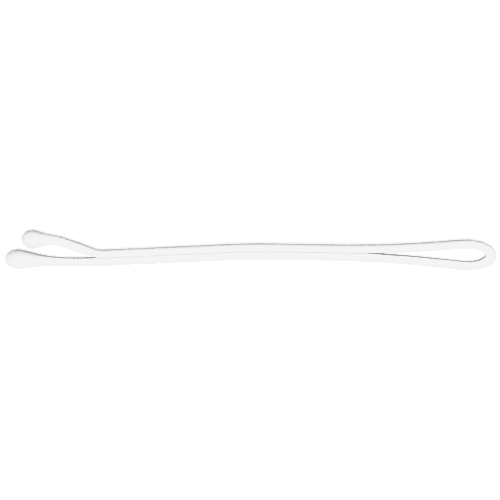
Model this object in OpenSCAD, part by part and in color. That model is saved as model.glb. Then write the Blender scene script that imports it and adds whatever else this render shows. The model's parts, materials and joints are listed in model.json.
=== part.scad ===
// Bobby pin of flat-rolled spring wire, enamelled white, with a dipped bead on each tip.
// It lies on its side, as it would on a table: X runs along the pin to the bend,
// Y across the two legs, and Z along the wire's wide way.

/* [Overall] */
// Length from the lower bead to the outside of the bend
pin_l = 50; // [42:0.5:70]
// How much further back the upper bead starts than the lower one
tip_stagger = 1.65; // [0.5:0.05:3]

/* [Wire] */
// Width of the steel strip
wire_w = 1.44; // [1.1:0.02:1.8]
// Thickness of the steel strip along the closed legs, where it is rolled flattest
wire_t = 0.7; // [0.5:0.02:0.9]
// Thickness of the strip round the bend
bend_t = 0.76; // [0.5:0.02:1]
// Thickness of the strip where the upper leg kicks up
kick_t = 0.8; // [0.5:0.02:1]
// Length over which the strip thins before the knee
kick_taper_l = 1.5; // [0.5:0.1:2]
// Radius of the strip's four rolled edges
edge_r = 0.11; // [0.05:0.01:0.24]
// Thickness of the enamel on every side
coat_t = 0.04; // [0.03:0.005:0.08]
// Extra enamel that settles inside the tight round of the bend
coat_pool = 0.18; // [0:0.02:0.2]

/* [Closed legs] */
// Gap left between the two legs where they lie together
leg_gap = 0.01; // [0.01:0.01:0.1]
// Distance from the outside of the bend to the bow's turn
bow_from_bend = 25; // [20:0.5:30]
// Angle that the closed legs turn through at the bow
bow_angle = 3.6; // [0.5:0.1:6]
// Radius of the bow, between the legs
bow_r = 80; // [40:5:150]

/* [Eye] */
// Length of the eye, from where the legs part to the outside of the bend
eye_l = 16.5; // [12:0.5:20]
// Height inside the eye at its widest
eye_h = 1.38; // [1.1:0.02:2]
// Distance from the eye's widest place to the outside of the bend
nose_l = 2.75; // [2.2:0.05:3.5]
// Turn of the tight round of the bend, on each side of its middle
nose_turn = 60; // [50:1:65]
// Radius of the shoulders, where the eye is widest
shoulder_r = 13.5; // [8:0.5:20]

/* [Upper tip] */
// Distance from the upper bead to the knee
knee_l = 7.85; // [6:0.05:10]
// Angle that the leg kicks up by at the knee
kick_angle = 21.6; // [12:0.2:28]
// Radius of the knee
knee_r = 3.5; // [2:0.1:6]
// Distance from the upper bead to the bend that levels the tip
crook_l = 3.65; // [2.8:0.05:4.5]
// Angle of that bend
crook_angle = 17.2; // [8:0.2:22]
// Radius of that bend
crook_r = 4; // [2:0.1:6]

/* [Lower tip] */
// How far past the knee, towards the tip, the lower leg makes the first of its two slight turns
first_turn_l = 0; // [0:0.1:1]
// Angle of that turn
first_turn_angle = 2.6; // [0.5:0.1:4]
// Distance from the lower bead to the second turn
second_turn_l = 6.2; // [4.5:0.1:6.4]
// Angle of that turn
second_turn_angle = 3; // [0.5:0.1:4]
// Radius of both turns
lower_turn_r = 30; // [15:1:40]

/* [Tip beads] */
// How far the lower bead's ball stands out past the wire's edges
lower_bead_over = 0.26; // [0.12:0.005:0.35]
// Length of the lower bead with its tail
lower_bead_l = 5.8; // [4.5:0.1:7]
// How far the upper bead's ball stands out past the wire's edges
upper_bead_over = 0.21; // [0.12:0.005:0.35]
// Length of the upper bead with its tail
upper_bead_l = 3.8; // [3.6:0.1:6]
// Thickness of a bead's feathered edge, on the enamel
bead_lip = 0.02; // [0.01:0.005:0.05]
// Thickness of a bead in front of the end of the wire
bead_cap = 0.8; // [0.5:0.05:1]
// Distance from the lower bead's front to its fattest place
lower_ball_mid = 1.4; // [0.9:0.05:1.6]
// Distance from the upper bead's front to its fattest place
upper_ball_mid = 1.15; // [0.9:0.05:1.3]
// Shape of a bead's tail: less than 1 thins it sooner behind the ball
tail_ease = 0.65; // [0.6:0.05:1.2]

/* [Hidden] */

steel = [0.62, 0.63, 0.65];
white = [0.96, 0.96, 0.95];

// smoothness: points round a section, how far a chord may cut a bend, and the rings of a bead
section_n = 20;
chord = 0.003;
front_angle = 6;
front_step = 12;
tail_steps = 12;

// sizes over the enamel
coated_w = wire_w + 2 * coat_t;
coated_t = wire_t + 2 * coat_t;
coated_bend_t = bend_t + 2 * coat_t;
coated_edge_r = edge_r + coat_t;
lower_ball_d = coated_w + 2 * lower_bead_over;
upper_ball_d = coated_w + 2 * upper_bead_over;

// the middle lines of the closed legs lie this far above and below the line between them
half_pitch = (coated_t + leg_gap) / 2;

// places along X
bend_x = pin_l / 2;
part_x = bend_x - eye_l;
bow_x = bend_x - bow_from_bend;
lower_tip_x = -pin_l / 2;
upper_tip_x = lower_tip_x + tip_stagger;
knee_x = upper_tip_x + knee_l;

// the eye's side: a long flare from the closed legs, then a shoulder, each turning by flare_angle
eye_half = (eye_h + coated_bend_t) / 2;
flare_l = eye_l - nose_l;
flare_angle = 2 * atan((eye_half - half_pitch) / flare_l);
flare_r = flare_l / sin(flare_angle) - shoulder_r;

// the bend: a flat arc from each shoulder, and one tight arc round the nose
nose_mid = nose_l - coated_bend_t / 2;
side_turn = 90 - nose_turn;
radii_apart = (nose_mid - eye_half) / (sin(side_turn) + cos(side_turn) - 1);
nose_r = nose_mid - radii_apart * sin(side_turn);
side_r = nose_r + radii_apart;

// A corner of a leg: the next one at x, on a line of the given slope from the last, and its bend radius
function corner(last, x, slope, r) = [x, last[1] + (x - last[0]) * tan(slope), r];

// Corners from where the legs part to the tip, with Y measured from the eye's middle
function upper_corners() =
    let (parting = [part_x, half_pitch, 0])
    let (bow = corner(parting, bow_x - half_pitch * tan(bow_angle / 2), 0, bow_r + half_pitch))
    let (knee = corner(bow, knee_x, bow_angle, knee_r))
    let (crook = corner(knee, upper_tip_x + crook_l, bow_angle - kick_angle, crook_r))
    let (tip = corner(crook, upper_tip_x, bow_angle - kick_angle + crook_angle, 0))
    [tip, crook, knee, bow, parting];

function lower_corners() =
    let (parting = [part_x, -half_pitch, 0])
    let (bow = corner(parting, bow_x + half_pitch * tan(bow_angle / 2), 0, bow_r - half_pitch))
    let (first = corner(bow, knee_x - first_turn_l, bow_angle, lower_turn_r))
    let (second_slope = bow_angle - first_turn_angle)
    let (second = corner(first, lower_tip_x + second_turn_l, second_slope, lower_turn_r))
    let (tip = corner(second, lower_tip_x, second_slope - second_turn_angle, 0))
    [tip, second, first, bow, parting];

// the pin is centred on its beads in Y, and its lowest bead stands on Z = 0
eye_y = -(upper_corners()[0][1] + upper_ball_d / 2 + lower_corners()[0][1] - lower_ball_d / 2) / 2;
mid_z = max(lower_ball_d, upper_ball_d) / 2;

// A move is [length, turn in degrees]. A leg's moves follow its corners, from the tip
function heading(a, b) = atan2(b[1] - a[1], b[0] - a[0]);
function turn(c, i) = heading(c[i], c[i + 1]) - heading(c[i - 1], c[i]);
function tangent(c, i) = i == 0 || i == len(c) - 1 ? 0 : c[i][2] * tan(abs(turn(c, i)) / 2);
function straight(c, i) =
    norm([c[i + 1][0] - c[i][0], c[i + 1][1] - c[i][1]]) - tangent(c, i) - tangent(c, i + 1);
function arc(r, angle) = [r * abs(angle) * PI / 180, angle];
function leg_moves(c) = [
    for (i = [0 : len(c) - 2])
        each i == len(c) - 2
            ? [[straight(c, i), 0]]
            : [[straight(c, i), 0], arc(c[i + 1][2], turn(c, i + 1))]
];
function sum_to(moves, n) = n == 0 ? 0 : moves[n - 1][0] + sum_to(moves, n - 1);
function length(moves) = sum_to(moves, len(moves));

// A pose is [x, y, heading]. This is the pose after going a distance along one move, then along all
function along(pose, move, s) =
    move[1] == 0
        ? [pose[0] + s * cos(pose[2]), pose[1] + s * sin(pose[2]), pose[2]]
        : let (
            r = move[0] / (move[1] * PI / 180),
            to = pose[2] + move[1] * s / move[0]
        )
        [pose[0] + r * (sin(to) - sin(pose[2])), pose[1] - r * (cos(to) - cos(pose[2])), to];
function along_all(pose, moves, s, i = 0) =
    i == len(moves) - 1 || s <= moves[i][0]
        ? along(pose, moves[i], s)
        : along_all(along(pose, moves[i], moves[i][0]), moves, s - moves[i][0], i + 1);

// A route is [first pose, moves, steel thickness against distance]
function pose_at(route, s) = along_all(route[0], route[1], s);
function steel_t(route, s) = lookup(s, route[2]);
function first_pose(c) = [c[0][0], c[0][1] + eye_y, heading(c[0], c[1])];

// The lower leg, from its tip to the bend
lower_moves = concat(leg_moves(lower_corners()), [arc(flare_r, -flare_angle)]);
lower_l = length(lower_moves);
lower_parting = sum_to(lower_moves, len(lower_moves) - 1);
lower_route = [
    first_pose(lower_corners()),
    lower_moves,
    [[0, wire_t], [lower_parting, wire_t], [lower_l, bend_t]]
];

// The upper leg, from its tip to the bend: its first three moves reach the knee
upper_moves = concat(leg_moves(upper_corners()), [arc(flare_r, flare_angle)]);
upper_l = length(upper_moves);
upper_parting = sum_to(upper_moves, len(upper_moves) - 1);
knee_start = sum_to(upper_moves, 3);
upper_route = [
    first_pose(upper_corners()),
    upper_moves,
    [
        [0, kick_t], [knee_start - kick_taper_l, kick_t], [knee_start, wire_t],
        [upper_parting, wire_t], [upper_l, bend_t]
    ]
];

// The bend, from the lower leg round to the upper one
bend_moves = [
    arc(shoulder_r, flare_angle),
    arc(side_r, side_turn),
    arc(nose_r, 2 * nose_turn),
    arc(side_r, side_turn),
    arc(shoulder_r, flare_angle)
];
bend_l = length(bend_moves);
bend_route = [pose_at(lower_route, lower_l), bend_moves, [[0, bend_t], [bend_l, bend_t]]];

// Distances along a route that get a ring: steps round each arc, and each change of thickness
function outer_r(move) = move[0] / (abs(move[1]) * PI / 180) + coated_bend_t / 2;
function steps(move) = move[1] == 0 ? 1 : ceil(abs(move[1]) / (2 * acos(1 - chord / outer_r(move))));
function move_stops(moves) = [
    for (i = [0 : len(moves) - 1], k = [1 : steps(moves[i])])
        sum_to(moves, i) + moves[i][0] * k / steps(moves[i])
];
function with_stop(at, x) =
    concat([for (s = at) if (s < x - chord) s], [x], [for (s = at) if (s > x + chord) s]);
function with_stops(at, rows, i = 0) =
    i == len(rows) ? at : with_stops(with_stop(at, rows[i][0]), rows, i + 1);
function stops(route) = with_stops(move_stops(route[1]), route[2]);
function between(route, from, to) =
    [from, for (s = stops(route)) if (s > from + chord && s < to - chord) s, to];

// A section with round edges, t thick and w wide, with its flats at their true distance
function section(t, w, r) =
    let (corner_r = r / cos(180 / section_n))
    [
        for (i = [0 : section_n - 1])
            let (a = (i + 0.5) * 360 / section_n)
            [
                sign(cos(a)) * (t / 2 - r) + corner_r * cos(a),
                sign(sin(a)) * (w / 2 - r) + corner_r * sin(a)
            ]
    ];

// One ring of points square to a pose; shift moves it to the left of the heading
function ring(pose, t, w, r, shift = 0) = [
    for (p = section(t, w, r))
        [pose[0] - (p[0] + shift) * sin(pose[2]), pose[1] + (p[0] + shift) * cos(pose[2]), mid_z + p[1]]
];
function strip(route, at, coat) = [
    for (s = at)
        ring(pose_at(route, s), steel_t(route, s) + 2 * coat, wire_w + 2 * coat, edge_r + coat)
];
function reversed(list) = [for (i = [len(list) - 1 : -1 : 0]) list[i]];

// A solid from rings in order, closed by its first and last ring, or joined end to end
module skin(rings, endless = false) {
    n = section_n;
    count = len(rings);
    sides = [
        for (i = [0 : endless ? count - 1 : count - 2], j = [0 : n - 1])
            let (
                a = i * n + j,
                b = i * n + (j + 1) % n,
                c = (i + 1) % count * n + (j + 1) % n,
                d = (i + 1) % count * n + j
            )
            each [[a, b, c], [a, c, d]]
    ];
    ends = [[for (j = [n - 1 : -1 : 0]) j], [for (j = [0 : n - 1]) (count - 1) * n + j]];
    polyhedron([for (r = rings) each r], endless ? sides : concat(sides, ends), convexity = 8);
}

// Legs: the steel starts inside the bead, and the enamel closes over its end
module leg_wire(route, leg_l) {
    color(steel) skin(strip(route, between(route, bead_cap + coat_t, leg_l), 0));
}

module leg_enamel(route, leg_l) {
    outside = strip(route, between(route, bead_cap, leg_l), coat_t);
    inside = strip(route, between(route, bead_cap + coat_t, leg_l), 0);
    color(white) skin(concat(outside, reversed(inside)));
}

module lower_leg_wire() leg_wire(lower_route, lower_l);
module upper_leg_wire() leg_wire(upper_route, upper_l);
module lower_leg_enamel() leg_enamel(lower_route, lower_l);
module upper_leg_enamel() leg_enamel(upper_route, upper_l);

// Bend: the enamel is thicker inside the nose, and fades out halfway along each flat arc
module bend_wire() {
    color(steel) skin(strip(bend_route, stops(bend_route), 0));
}

function pool_at(s) =
    let (reach = (bend_moves[1][0] + bend_moves[2][0]) / 2)
    let (q = min(1, abs(s - bend_l / 2) / reach))
    coat_pool * (1 + cos(180 * q)) / 2;

module bend_enamel() {
    at = stops(bend_route);
    outside = [
        for (s = at)
            let (pool = pool_at(s))
            ring(pose_at(bend_route, s), coated_bend_t + pool, coated_w, coated_edge_r, pool / 2)
    ];
    color(white) skin(concat(outside, reversed(strip(bend_route, at, 0))), endless = true);
}

// Beads: a drop that rounds over the tip, swells to its ball and tapers back along the leg
function swell(q) = (1 + cos(180 * pow(q, tail_ease))) / 2;
function drop_front(route, ball_d, mid) = [
    for (a = [front_angle : front_step : 90])
        let (s = mid * (1 - cos(a) / cos(front_angle)))
        let (d = ball_d * sin(a))
        ring(pose_at(route, s), d, d, d / 2)
];
function drop_tail(route, ball_d, mid, drop_l) = [
    for (i = [1 : tail_steps])
        let (
            q = i / tail_steps,
            s = mid + q * (drop_l - mid),
            t = steel_t(route, s) + 2 * coat_t + 2 * bead_lip,
            w = coated_w + 2 * bead_lip,
            r = coated_edge_r + bead_lip,
            k = swell(q)
        )
        ring(pose_at(route, s), t + k * (ball_d - t), w + k * (ball_d - w), r + k * (ball_d / 2 - r))
];

module bead(route, ball_d, mid, drop_l) {
    outside = concat(drop_front(route, ball_d, mid), drop_tail(route, ball_d, mid, drop_l));
    socket = strip(route, between(route, bead_cap, drop_l), coat_t);
    color(white) skin(concat(outside, reversed(socket)));
}

module lower_tip_bead() bead(lower_route, lower_ball_d, lower_ball_mid, lower_bead_l);
module upper_tip_bead() bead(upper_route, upper_ball_d, upper_ball_mid, upper_bead_l);

lower_leg_wire();
bend_wire();
upper_leg_wire();
lower_leg_enamel();
bend_enamel();
upper_leg_enamel();
lower_tip_bead();
upper_tip_bead();
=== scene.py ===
import json
import math

import bmesh
import bpy
from mathutils import Matrix, Vector

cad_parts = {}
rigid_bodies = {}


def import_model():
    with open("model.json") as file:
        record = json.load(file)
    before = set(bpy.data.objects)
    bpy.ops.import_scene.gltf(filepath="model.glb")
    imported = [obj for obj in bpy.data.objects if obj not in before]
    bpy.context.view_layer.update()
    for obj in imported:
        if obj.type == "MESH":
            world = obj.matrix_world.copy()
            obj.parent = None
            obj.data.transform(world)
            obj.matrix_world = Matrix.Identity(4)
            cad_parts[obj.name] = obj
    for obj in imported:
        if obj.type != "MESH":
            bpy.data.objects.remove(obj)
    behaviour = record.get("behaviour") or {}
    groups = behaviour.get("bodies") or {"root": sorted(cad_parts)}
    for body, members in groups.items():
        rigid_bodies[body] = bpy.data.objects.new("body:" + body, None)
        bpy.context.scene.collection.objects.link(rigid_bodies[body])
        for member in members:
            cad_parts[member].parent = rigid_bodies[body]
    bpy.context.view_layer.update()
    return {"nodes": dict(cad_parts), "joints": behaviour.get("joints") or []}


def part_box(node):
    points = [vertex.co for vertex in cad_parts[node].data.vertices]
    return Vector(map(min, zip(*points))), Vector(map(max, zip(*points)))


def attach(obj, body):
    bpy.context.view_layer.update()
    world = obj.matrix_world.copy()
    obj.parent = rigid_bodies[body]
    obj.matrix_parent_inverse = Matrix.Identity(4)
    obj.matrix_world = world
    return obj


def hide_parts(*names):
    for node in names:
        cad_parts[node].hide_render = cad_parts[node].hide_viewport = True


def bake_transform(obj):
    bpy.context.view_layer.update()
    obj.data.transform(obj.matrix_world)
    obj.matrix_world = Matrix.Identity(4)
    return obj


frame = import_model()
print("Frame loaded:", len(frame["nodes"]), "nodes")

# Each piece is modelled as a straight rod along X, in millimetres, and then bent along the
# wire's route, as the real pin is made.
mm = 0.001
spring = frame["joints"][0]
nose = Vector(spring["pos_m"]) / mm  # the middle of the bend's tight round

wire = {
    "width": 1.44,
    "legThick": 0.70,
    "bendThick": 0.76,
    "kickThick": 0.80,
    "kickTaper": 1.5,  # the kicked-up end thins to the leg's thickness over this length
    "edge": 0.14,  # radius of the strip's four rolled edges
    "coat": 0.04,  # the enamel's thickness
    "legGap": 0.01,  # between the enamelled legs where they lie together
}
eye = {
    "length": 16.5,
    "height": 1.38,
    "noseLength": 2.75,
    "noseTurn": 60,
    "shoulderRadius": 13.5,
    "pool": 0.18,  # extra enamel inside the tight round
    "opensInside": 0.08,  # a depth inside the eye's half height
}
bow = {"fromBend": 25, "angle": 3.6, "radius": 80}
upperTip = {
    "kneeLength": 7.85,
    "kickAngle": 21.6,
    "kneeRadius": 3.5,
    "crookLength": 3.65,
    "crookAngle": 17.2,
    "crookRadius": 4,
}
lowerTip = {
    "firstTurn": 0,
    "firstAngle": 2.6,
    "secondTurn": 6.2,
    "secondAngle": 3,
    "radius": 30,
}
smooth = {
    "sectionPoints": 40,
    "arcStep": 1.5,  # degrees
    "longestStep": 0.3,
    "shortestStep": 0.02,
}


# the wire's route
def thickOf(bare, coats=1):
    return bare + 2 * coats * wire["coat"]


halfPitch = (thickOf(wire["legThick"]) + wire["legGap"]) / 2
eyeHalf = (eye["height"] + thickOf(wire["bendThick"])) / 2
noseMiddle = eye["noseLength"] - thickOf(wire["bendThick"]) / 2
sideTurn = 90 - eye["noseTurn"]
radiiApart = (noseMiddle - eyeHalf) / (
    math.sin(math.radians(sideTurn)) + math.cos(math.radians(sideTurn)) - 1
)
noseRadius = noseMiddle - radiiApart * math.sin(math.radians(sideTurn))
sideRadius = noseRadius + radiiApart
bendX = nose.x + noseRadius + thickOf(wire["bendThick"]) / 2  # the outside of the bend
partX = bendX - eye["length"]
bowX = bendX - bow["fromBend"]
flareLength = eye["length"] - eye["noseLength"]
flareAngle = 2 * math.degrees(math.atan((eyeHalf - halfPitch) / flareLength))
flareRadius = flareLength / math.sin(math.radians(flareAngle)) - eye["shoulderRadius"]
# the tips' places, without the few microns by which the faceted beads differ from their design
lowerTipX = round(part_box("lower_tip_bead")[0].x / mm, 1)
upperTipX = round(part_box("upper_tip_bead")[0].x / mm, 2)
kneeX = upperTipX + upperTip["kneeLength"]


def slope(a, b):
    return math.degrees(math.atan2(b[1] - a[1], b[0] - a[0]))


def nextCorner(last, x, angle, radius):
    # the next corner at x, reached from the last one at this angle, with its bend radius
    return (x, last[1] + (x - last[0]) * math.tan(math.radians(angle)), radius)


def arc(radius, angle):
    return (radius * math.radians(abs(angle)), angle)


def legMoves(corners):
    # a leg from its tip to where the legs part: straight runs and arcs, each (length, turn)
    turns = [0]
    for i in range(1, len(corners) - 1):
        turns.append(slope(corners[i], corners[i + 1]) - slope(corners[i - 1], corners[i]))
    turns.append(0)
    cuts = [c[2] * math.tan(math.radians(abs(t) / 2)) for c, t in zip(corners, turns)]
    moves = []
    for i in range(len(corners) - 1):
        a, b = corners[i], corners[i + 1]
        moves.append((math.hypot(b[0] - a[0], b[1] - a[1]) - cuts[i] - cuts[i + 1], 0))
        if turns[i + 1]:
            moves.append(arc(b[2], turns[i + 1]))
    return moves


def movePose(pose, move, distance):
    x, y, heading = pose
    length, turn = move
    if turn == 0:
        a = math.radians(heading)
        return (x + distance * math.cos(a), y + distance * math.sin(a), heading)
    radius = length / math.radians(turn)
    a, b = math.radians(heading), math.radians(heading + turn * distance / length)
    return (
        x + radius * (math.sin(b) - math.sin(a)),
        y - radius * (math.cos(b) - math.cos(a)),
        math.degrees(b),
    )


def poseAt(route, distance):
    pose = route["start"]
    for move in route["moves"][:-1]:
        if distance <= move[0]:
            return movePose(pose, move, distance)
        pose = movePose(pose, move, move[0])
        distance -= move[0]
    return movePose(pose, route["moves"][-1], distance)


def steelAt(route, distance):
    # steel thickness along the route, from its table of (distance, thickness)
    table = route["steel"]
    for (s0, t0), (s1, t1) in zip(table, table[1:]):
        if distance <= s1:
            return t0 + (t1 - t0) * max(0, distance - s0) / (s1 - s0)
    return table[-1][1]


def makeRoute(corners, flareTurn, steelTable, inner):
    # corners come from the parting out to the tip, and the route runs back from the tip to
    # the bend; inner is 1 where the other leg lies on the route's left, or -1 on its right
    tipFirst = corners[::-1]
    moves = legMoves(tipFirst) + [arc(flareRadius, flareTurn)]
    ends = [0]
    for move in moves:
        ends.append(ends[-1] + move[0])
    return {
        "start": (tipFirst[0][0], tipFirst[0][1] + nose.y, slope(tipFirst[0], tipFirst[1])),
        "moves": moves,
        "length": ends[-1],
        "steel": steelTable(ends),
        "inner": inner,
        "closed": (ends[4], ends[-2]),  # the legs lie together from the knee to the flare
    }


def upperCorners():
    parting = (partX, halfPitch, 0)
    shift = halfPitch * math.tan(math.radians(bow["angle"] / 2))
    turn = nextCorner(parting, bowX - shift, 0, bow["radius"] + halfPitch)
    knee = nextCorner(turn, kneeX, bow["angle"], upperTip["kneeRadius"])
    kicked = bow["angle"] - upperTip["kickAngle"]
    crook = nextCorner(knee, upperTipX + upperTip["crookLength"], kicked, upperTip["crookRadius"])
    tip = nextCorner(crook, upperTipX, kicked + upperTip["crookAngle"], 0)
    return [parting, turn, knee, crook, tip]


def lowerCorners():
    parting = (partX, -halfPitch, 0)
    shift = halfPitch * math.tan(math.radians(bow["angle"] / 2))
    turn = nextCorner(parting, bowX + shift, 0, bow["radius"] - halfPitch)
    first = nextCorner(turn, kneeX - lowerTip["firstTurn"], bow["angle"], lowerTip["radius"])
    after = bow["angle"] - lowerTip["firstAngle"]
    second = nextCorner(first, lowerTipX + lowerTip["secondTurn"], after, lowerTip["radius"])
    tip = nextCorner(second, lowerTipX, after - lowerTip["secondAngle"], 0)
    return [parting, turn, first, second, tip]


def upperSteel(ends):
    leg, kick = wire["legThick"], wire["kickThick"]
    kneeStart, flareStart = ends[3], ends[-2]
    taper = kneeStart - wire["kickTaper"]
    tip = [(0, kick), (taper, kick), (kneeStart, leg)]
    return tip + [(flareStart, leg), (ends[-1], wire["bendThick"])]


def lowerSteel(ends):
    return [(0, wire["legThick"]), (ends[-2], wire["legThick"]), (ends[-1], wire["bendThick"])]


upperRoute = makeRoute(upperCorners(), flareAngle, upperSteel, -1)
lowerRoute = makeRoute(lowerCorners(), -flareAngle, lowerSteel, 1)
bendMoves = [
    arc(eye["shoulderRadius"], flareAngle),
    arc(sideRadius, sideTurn),
    arc(noseRadius, 2 * eye["noseTurn"]),
    arc(sideRadius, sideTurn),
    arc(eye["shoulderRadius"], flareAngle),
]
bendLength = sum(move[0] for move in bendMoves)
bendRoute = {
    "start": poseAt(lowerRoute, lowerRoute["length"]),
    "moves": bendMoves,
    "length": bendLength,
    "steel": [(0, wire["bendThick"]), (bendLength, wire["bendThick"])],
}
routeLengths = [round(route["length"], 2) for route in (lowerRoute, upperRoute, bendRoute)]
print("Route of the lower leg, upper leg and bend:", routeLengths)


# modelling
def stopsBetween(route, start, end):
    # distances for the edge loops: evenly on straight runs, by angle round the arcs,
    # and where the steel's thickness starts or stops changing
    apart = smooth["shortestStep"]
    stops = [start]
    distance = 0
    for length, turn in route["moves"]:
        count = math.ceil(max(length / smooth["longestStep"], abs(turn) / smooth["arcStep"]))
        for k in range(1, count + 1):
            stop = distance + length * k / count
            if start + apart < stop < end - apart:
                stops.append(stop)
        distance += length
    for stop, _ in route["steel"]:
        if start + apart < stop < end - apart and min(abs(stop - s) for s in stops) > apart:
            stops.append(stop)
    stops.append(end)
    return sorted(stops)


def coatStations(route, start, end, coats):
    # (distance, thickness, width, left and right edge radius, shift) of each loop of a coated strip
    width, edge = thickOf(wire["width"], coats), wire["edge"] + coats * wire["coat"]
    return [
        (s, thickOf(steelAt(route, s), coats), width, edge, edge, 0)
        for s in stopsBetween(route, start, end)
    ]


def drawRod(stations, endless=False):
    # a section with rounded edges, extruded from station to station;
    # an endless rod closes on itself
    bm = bmesh.new()
    around = bm.verts.layers.float.new("around")
    points = smooth["sectionPoints"]
    halfStep = math.pi / points
    upright = Matrix.Rotation(math.pi / 2, 4, "Y") @ Matrix.Rotation(halfStep, 4, "Z")
    bmesh.ops.create_circle(bm, cap_ends=False, radius=1, segments=points, matrix=upright)
    for vert in bm.verts:
        vert[around] = math.atan2(vert.co.z, vert.co.y)

    def shape(verts, station):
        distance, thick, width, leftEdge, rightEdge, shift = station
        for vert in verts:
            a = vert[around]
            edge = leftEdge if math.cos(a) > 0 else rightEdge
            corner = edge / math.cos(halfStep)
            y = math.copysign(thick / 2 - edge, math.cos(a)) + corner * math.cos(a)
            z = math.copysign(width / 2 - edge, math.sin(a)) + corner * math.sin(a)
            vert.co = (distance, y + shift, z)

    firstEdges = bm.edges[:]
    edges = firstEdges
    shape(bm.verts, stations[0])
    for station in stations[1:]:
        made = bmesh.ops.extrude_edge_only(bm, edges=edges)["geom"]
        verts = {item for item in made if isinstance(item, bmesh.types.BMVert)}
        edges = [e for e in made if isinstance(e, bmesh.types.BMEdge) and set(e.verts) <= verts]
        shape(verts, station)
    if endless:
        bmesh.ops.bridge_loops(bm, edges=firstEdges + edges)
    else:
        for loop in (firstEdges, edges):
            cap = bmesh.ops.edgeloop_fill(bm, edges=loop)["faces"]
            bmesh.ops.poke(bm, faces=cap)
    return bm


def bendAlong(bm, route):
    # bends the straight rod to the wire's route, and lifts it to the height of the wire's middle
    for vert in bm.verts:
        x, y, heading = poseAt(route, vert.co.x)
        a = math.radians(heading)
        vert.co = (x - vert.co.y * math.sin(a), y + vert.co.y * math.cos(a), vert.co.z + nose.z)
    bmesh.ops.recalc_face_normals(bm, faces=bm.faces)
    if bm.calc_volume(signed=True) < 0:  # the bend comes out facing inwards
        bmesh.ops.reverse_faces(bm, faces=bm.faces)
    bmesh.ops.scale(bm, vec=(mm, mm, mm), verts=bm.verts)


def addPiece(name, bm, material, sharpAngle=40):
    for face in bm.faces:
        face.smooth = True
    for edge in bm.edges:
        edge.smooth = edge.calc_face_angle(0) < math.radians(sharpAngle)
    mesh = bpy.data.meshes.new(name)
    bm.to_mesh(mesh)
    bm.free()
    piece = bpy.data.objects.new(name, mesh)
    bpy.context.scene.collection.objects.link(piece)
    mesh.materials.append(material)
    return piece


# materials
noiseSpan = (0.3, 0.7)  # nearly all of a noise lies between these values


def newMaterial(name):
    material = bpy.data.materials.new(name)
    material.use_nodes = True
    return material, material.node_tree.nodes, material.node_tree.links


def noiseOf(nodes, links, size, detail, stretch=(1, 1, 1)):
    # noise with features of about this size in millimetres, on the piece's own coordinates
    place = nodes.new("ShaderNodeTexCoord")
    mapping = nodes.new("ShaderNodeMapping")
    mapping.inputs["Scale"].default_value = stretch
    noise = nodes.new("ShaderNodeTexNoise")
    noise.inputs["Scale"].default_value = 1 / (size * mm)
    noise.inputs["Detail"].default_value = detail
    links.new(place.outputs["Object"], mapping.inputs["Vector"])
    links.new(mapping.outputs["Vector"], noise.inputs["Vector"])
    return noise


def rangeOf(nodes, links, value, low, high):
    remap = nodes.new("ShaderNodeMapRange")
    remap.inputs["From Min"].default_value = noiseSpan[0]
    remap.inputs["From Max"].default_value = noiseSpan[1]
    remap.inputs["To Min"].default_value = low
    remap.inputs["To Max"].default_value = high
    links.new(value, remap.inputs["Value"])
    return remap.outputs["Result"]


def blendOf(nodes, links, value, first, second):
    mix = nodes.new("ShaderNodeMix")
    mix.data_type = "RGBA"
    mix.inputs["A"].default_value = (*first, 1)
    mix.inputs["B"].default_value = (*second, 1)
    links.new(value, mix.inputs["Factor"])
    return mix.outputs["Result"]


def bumpOf(nodes, links, height, depth, under=None):
    bump = nodes.new("ShaderNodeBump")
    bump.inputs["Strength"].default_value = 1
    bump.inputs["Distance"].default_value = depth * mm
    links.new(height, bump.inputs["Height"])
    if under:
        links.new(under, bump.inputs["Normal"])
    return bump.outputs["Normal"]


enamel = {
    "white": (0.655, 0.655, 0.65),
    "thin": (0.64, 0.642, 0.645),  # where the coat is a little thinner over the steel
    "patchSize": 2.4,
    "smudgeSize": 0.8,
    "rippleSize": 0.45,  # the slight orange peel of a baked coat
    "rippleDepth": 0.004,
    "grainSize": 0.06,
    "grainDepth": 0.0006,
    "roughness": (0.34, 0.44),
    "gloss": 0.32,
}


def enamelMaterial():
    material, nodes, links = newMaterial("bakedEnamel")
    shader = nodes["Principled BSDF"]
    patches = noiseOf(nodes, links, enamel["patchSize"], detail=3)
    share = rangeOf(nodes, links, patches.outputs["Fac"], 0, 1)
    whites = blendOf(nodes, links, share, enamel["white"], enamel["thin"])
    links.new(whites, shader.inputs["Base Color"])
    smudges = noiseOf(nodes, links, enamel["smudgeSize"], detail=4)
    low, high = enamel["roughness"]
    links.new(rangeOf(nodes, links, smudges.outputs["Fac"], low, high), shader.inputs["Roughness"])
    ripple = noiseOf(nodes, links, enamel["rippleSize"], detail=1)
    grain = noiseOf(nodes, links, enamel["grainSize"], detail=2)
    rippled = bumpOf(nodes, links, ripple.outputs["Fac"], enamel["rippleDepth"])
    grained = bumpOf(nodes, links, grain.outputs["Fac"], enamel["grainDepth"], under=rippled)
    links.new(grained, shader.inputs["Normal"])
    shader.inputs["Specular IOR Level"].default_value = enamel["gloss"]
    return material


bead = {
    "white": (0.71, 0.71, 0.705),
    "cloudy": (0.695, 0.695, 0.692),
    "cloudSize": 1.1,
    "smudgeSize": 0.55,
    "rippleSize": 0.9,
    "rippleDepth": 0.006,
    "roughness": (0.38, 0.46),
    "gloss": 0.22,
    "glow": 0.05,  # share of the light that enters the slightly translucent resin
    "glowDepth": 0.1,  # and how far it spreads there
}


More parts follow.
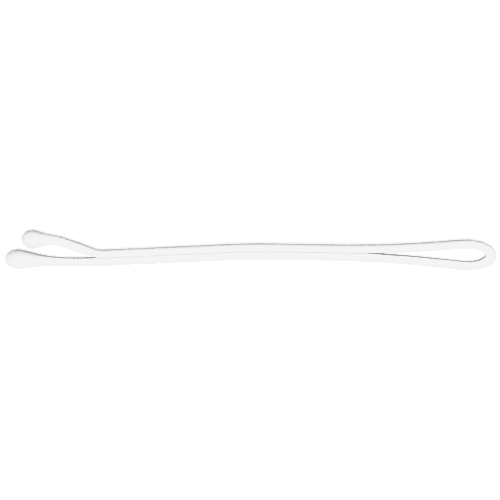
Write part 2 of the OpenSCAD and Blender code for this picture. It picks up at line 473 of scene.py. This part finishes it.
def beadMaterial():
    material, nodes, links = newMaterial("dippedResin")
    shader = nodes["Principled BSDF"]
    clouds = noiseOf(nodes, links, bead["cloudSize"], detail=3)
    share = rangeOf(nodes, links, clouds.outputs["Fac"], 0, 1)
    whites = blendOf(nodes, links, share, bead["white"], bead["cloudy"])
    links.new(whites, shader.inputs["Base Color"])
    smudges = noiseOf(nodes, links, bead["smudgeSize"], detail=3)
    low, high = bead["roughness"]
    links.new(rangeOf(nodes, links, smudges.outputs["Fac"], low, high), shader.inputs["Roughness"])
    ripple = noiseOf(nodes, links, bead["rippleSize"], detail=1)
    rippled = bumpOf(nodes, links, ripple.outputs["Fac"], bead["rippleDepth"])
    links.new(rippled, shader.inputs["Normal"])
    shader.inputs["Specular IOR Level"].default_value = bead["gloss"]
    shader.inputs["Subsurface Weight"].default_value = bead["glow"]
    shader.inputs["Subsurface Radius"].default_value = (1, 1, 1)
    shader.inputs["Subsurface Scale"].default_value = bead["glowDepth"] * mm
    return material


steel = {
    "bright": (0.56, 0.565, 0.58),
    "dark": (0.40, 0.405, 0.42),
    "lineSize": 0.05,  # the rolling lines run along the wire
    "lineStretch": 0.04,
    "lineDepth": 0.002,
    "roughness": (0.28, 0.42),
}


def steelMaterial():
    material, nodes, links = newMaterial("rolledSpringSteel")
    shader = nodes["Principled BSDF"]
    stretch = (steel["lineStretch"], 1, 1)
    lines = noiseOf(nodes, links, steel["lineSize"], detail=3, stretch=stretch)
    share = rangeOf(nodes, links, lines.outputs["Fac"], 0, 1)
    greys = blendOf(nodes, links, share, steel["dark"], steel["bright"])
    links.new(greys, shader.inputs["Base Color"])
    low, high = steel["roughness"]
    links.new(rangeOf(nodes, links, lines.outputs["Fac"], high, low), shader.inputs["Roughness"])
    lined = bumpOf(nodes, links, lines.outputs["Fac"], steel["lineDepth"])
    links.new(lined, shader.inputs["Normal"])
    shader.inputs["Metallic"].default_value = 1
    return material


enamelFinish = enamelMaterial()
beadFinish = beadMaterial()
steelFinish = steelMaterial()
print("Materials ready")

# the enamelled wire
legCoat = {
    "beadCap": 0.8,  # the enamel's closed end stands this far back from the bead's front
    "outerEdge": 0.26,  # the enamel draws back from the outer corners, which leaves them rounder,
    "innerEdge": 0.09,  # and it gathers on the inner ones
    "seamGap": 0.002,  # where the legs lie together their coats nearly touch,
    "seamFill": (0.05, 0.25),  # and enamel gathers where the gap between them is narrower than this
}


def ease(share):
    share = max(0, min(1, share))
    return share * share * (3 - 2 * share)


def gapAt(route, distance):
    # the gap between the two coats, which opens along the arcs at the knee and at the flare
    kneeEnd, flareStart = route["closed"]
    kneeSpread = (1 / upperTip["kneeRadius"] - 1 / lowerTip["radius"]) / 2
    pastKnee, pastFlare = max(0, kneeEnd - distance), max(0, distance - flareStart)
    thicker = steelAt(route, distance) - wire["legThick"]
    return wire["legGap"] + kneeSpread * pastKnee ** 2 + pastFlare ** 2 / flareRadius - thicker


def fillSeam(route, station):
    distance, thick, width, edge, _, _ = station
    gap = gapAt(route, distance)
    narrow, wide = legCoat["seamFill"]
    filled = 1 - ease((gap - narrow) / (wide - narrow))
    lip = edge - wire["edge"] - wire["coat"]
    outer = legCoat["outerEdge"] + lip
    inner = legCoat["innerEdge"] + lip
    closer = (gap - legCoat["seamGap"]) / 2 * filled
    edges = (inner, outer) if route["inner"] > 0 else (outer, inner)
    return (distance, thick + closer, width, *edges, route["inner"] * closer / 2)


def makeLegEnamel(name, node, route, body):
    outside = coatStations(route, legCoat["beadCap"], route["length"], 1)
    outside = [fillSeam(route, station) for station in outside]
    inside = coatStations(route, legCoat["beadCap"] + wire["coat"], route["length"], 0)
    bm = drawRod(outside + inside[::-1])
    bendAlong(bm, route)
    piece = addPiece(name, bm, enamelFinish)
    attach(piece, body)
    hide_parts(node)


def poolAt(distance):
    # the pool is deepest at the nose, and fades out half way round the wider arcs beside it
    reach = (bendMoves[1][0] + bendMoves[2][0]) / 2
    share = min(1, abs(distance - bendLength / 2) / reach)
    return eye["pool"] * (1 + math.cos(math.pi * share)) / 2


def acrossBend(piece):
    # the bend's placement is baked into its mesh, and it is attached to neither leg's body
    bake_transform(piece)


def makeBendEnamel():
    at = stopsBetween(bendRoute, 0, bendLength)
    thick, width = thickOf(wire["bendThick"]), thickOf(wire["width"])
    edges = legCoat["innerEdge"], legCoat["outerEdge"]
    outside = [(s, thick + poolAt(s), width, *edges, poolAt(s) / 2) for s in at]
    inside = coatStations(bendRoute, 0, bendLength, 0)
    bm = drawRod(outside + inside[::-1], endless=True)
    bendAlong(bm, bendRoute)
    piece = addPiece("bendEnamel", bm, enamelFinish)
    acrossBend(piece)
    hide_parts("bend_enamel")


def makeSteel(name, node, route, start, body=None):
    bm = drawRod(coatStations(route, start, route["length"], 0))
    bendAlong(bm, route)
    piece = addPiece(name, bm, steelFinish)
    if body:
        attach(piece, body)
    else:
        acrossBend(piece)
    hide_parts(node)


makeLegEnamel("lowerLegEnamel", "lower_leg_enamel", lowerRoute, spring["parent"])
makeLegEnamel("upperLegEnamel", "upper_leg_enamel", upperRoute, spring["child"])
makeBendEnamel()
steelStart = legCoat["beadCap"] + wire["coat"]
makeSteel("lowerLegSteel", "lower_leg_wire", lowerRoute, steelStart, spring["parent"])
makeSteel("upperLegSteel", "upper_leg_wire", upperRoute, steelStart, spring["child"])
makeSteel("bendSteel", "bend_wire", bendRoute, 0)
print("Wire and enamel made")

# the dipped beads
drop = {
    "frontAngle": 3,
    "frontSteps": 22,
    "tailSteps": 40,
    "tailEase": 0.65,
    "lip": 0.008,  # the feathered edge on the enamel
    # the ball stands "over" past the wire's edges, and is fattest at "middle" from its front
    "lower": {"over": 0.26, "length": 5.8, "middle": 1.4},
    "upper": {"over": 0.21, "length": 3.8, "middle": 1.15},
}


def makeBead(name, node, route, size, body):
    ball = thickOf(wire["width"]) + 2 * size["over"]
    middle, length = size["middle"], size["length"]
    stations = []
    first = math.radians(drop["frontAngle"])
    for k in range(drop["frontSteps"] + 1):
        a = first + (math.pi / 2 - first) * k / drop["frontSteps"]
        s = middle * (1 - math.cos(a) / math.cos(first))
        across = ball * math.sin(a)
        stations.append((s, across, across, across / 2, across / 2, 0))
    for k in range(1, drop["tailSteps"] + 1):
        q = k / drop["tailSteps"]
        s = middle + q * (length - middle)
        swell = (1 + math.cos(math.pi * q ** drop["tailEase"])) / 2
        thick = thickOf(steelAt(route, s)) + 2 * drop["lip"]
        width = thickOf(wire["width"]) + 2 * drop["lip"]
        edge = wire["edge"] + wire["coat"] + drop["lip"]
        _, thick, width, left, right, shift = fillSeam(route, (s, thick, width, edge, edge, 0))
        sides = ((thick, ball), (width, ball), (left, ball / 2), (right, ball / 2), (shift, 0))
        stations.append((s, *(side + swell * (full - side) for side, full in sides)))
    socket = coatStations(route, legCoat["beadCap"], length, 1)
    socket = [fillSeam(route, station) for station in socket]
    bm = drawRod(stations + socket[::-1])
    bendAlong(bm, route)
    piece = addPiece(name, bm, beadFinish)
    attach(piece, body)
    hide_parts(node)


makeBead("lowerTipBead", "lower_tip_bead", lowerRoute, drop["lower"], spring["parent"])
makeBead("upperTipBead", "upper_tip_bead", upperRoute, drop["upper"], spring["child"])
print("Beads made")

# floor, light and camera
studio = {
    "floorSize": 6,
    "floorWhite": 0.05,
    "floorGlow": 0.99,  # the floor glows evenly, as a light table does
    "floorRough": 0.9,
    "paperSize": 3,
    "paperShade": 0.98,
    "keyTilt": 10,  # degrees from straight above, towards the lower leg's side
    "keyDistance": 0.7,
    "keySize": 0.5,
    "keyPower": 6.4,
    "skyLow": (0.1, 0.1, 0.1),
    "skyHigh": (0.05, 0.05, 0.05),
    "skyBand": (0.06, 0.22),  # the height over which it changes from low to high
}


def makeFloor():
    bpy.ops.mesh.primitive_plane_add(size=studio["floorSize"])
    floor = bpy.context.object
    floor.name = "paleFloor"
    material, nodes, links = newMaterial("paleFloor")
    shader = nodes["Principled BSDF"]
    paper = noiseOf(nodes, links, studio["paperSize"], detail=2)
    white = studio["floorWhite"]
    share = rangeOf(nodes, links, paper.outputs["Fac"], 0, 1)
    tones = blendOf(nodes, links, share, (white,) * 3, (white * studio["paperShade"],) * 3)
    links.new(tones, shader.inputs["Base Color"])
    shader.inputs["Roughness"].default_value = studio["floorRough"]
    shader.inputs["Specular IOR Level"].default_value = 0
    shader.inputs["Emission Color"].default_value = (1, 1, 1, 1)
    shader.inputs["Emission Strength"].default_value = studio["floorGlow"]
    floor.data.materials.append(material)


def makeLight():
    tilt = math.radians(studio["keyTilt"])
    light = bpy.data.lights.new("softKey", "AREA")
    light.shape = "DISK"
    light.size = studio["keySize"]
    light.energy = studio["keyPower"]
    key = bpy.data.objects.new("softKey", light)
    bpy.context.scene.collection.objects.link(key)
    direction = Vector((0, -math.sin(tilt), math.cos(tilt)))
    key.location = direction * studio["keyDistance"]
    key.rotation_mode = "QUATERNION"
    key.rotation_quaternion = direction.to_track_quat("Z", "Y")


def makeSky():
    world = bpy.data.worlds.new("studioSky")
    bpy.context.scene.world = world
    world.use_nodes = True
    nodes, links = world.node_tree.nodes, world.node_tree.links
    place = nodes.new("ShaderNodeTexCoord")
    split = nodes.new("ShaderNodeSeparateXYZ")
    ramp = nodes.new("ShaderNodeValToRGB")
    low, high = ramp.color_ramp.elements
    low.position, high.position = studio["skyBand"]
    low.color = (*studio["skyLow"], 1)
    high.color = (*studio["skyHigh"], 1)
    links.new(place.outputs["Generated"], split.inputs["Vector"])
    links.new(split.outputs["Z"], ramp.inputs["Fac"])
    links.new(ramp.outputs["Color"], nodes["Background"].inputs["Color"])


photo = {
    "pixels": 500,
    "pixelsPerMm": 9.8,
    "originX": 250.5,  # where the frame's origin lies in the photograph
    "originY": 252.7,
    "roll": 1.0,  # the pin's turn in the photograph, in degrees
    "tilt": 5.5,  # the camera leans to the upper leg's side, and its wall shows as a thin line
    "distance": 0.35,
    "sensor": 36,
    "clip": (0.01, 20),
}


def makeCamera():
    camera = bpy.data.cameras.new("photoCamera")
    camera.sensor_width = photo["sensor"]
    frameWidth = photo["pixels"] / photo["pixelsPerMm"] * mm
    camera.lens = camera.sensor_width * photo["distance"] / frameWidth
    camera.clip_start, camera.clip_end = photo["clip"]
    view = bpy.data.objects.new("photoCamera", camera)
    bpy.context.scene.collection.objects.link(view)
    turned = Matrix.Rotation(math.radians(photo["roll"]), 3, "Z")
    turned = turned @ Matrix.Rotation(math.radians(-photo["tilt"]), 3, "X")
    right = (photo["pixels"] / 2 - photo["originX"]) / photo["pixelsPerMm"]
    up = (photo["originY"] - photo["pixels"] / 2) / photo["pixelsPerMm"]
    middle = Vector((0, 0, nose.z * mm))
    view.location = middle + turned @ Vector((right * mm, up * mm, photo["distance"]))
    view.rotation_euler = turned.to_euler()
    bpy.context.scene.camera = view


# the photograph's tone: light greys are pressed together near white, as in a bright exposure
tone = [
    (0.0, 0.0), (0.04, 0.18), (0.12, 0.31), (0.3, 0.37), (0.42, 0.41), (0.48, 0.5), (0.54, 0.66),
    (0.6, 0.78), (0.67, 0.85), (0.8, 0.895), (0.94, 0.91), (0.98, 0.92), (1.01, 1.0),
]
toneEnd = 1.2


def makeTone():
    settings = bpy.context.scene.view_settings
    settings.view_transform = "Standard"
    settings.use_curve_mapping = True
    curve = settings.curve_mapping.curves[3]  # the one for all three colours
    curve.points[0].location = tone[0]
    curve.points[1].location = tone[-1]
    for point in tone[1:-1]:
        curve.points.new(*point)
    settings.curve_mapping.clip_max_x = toneEnd
    settings.curve_mapping.update()


makeFloor()
makeLight()
makeSky()
makeCamera()
makeTone()
print("Studio ready")
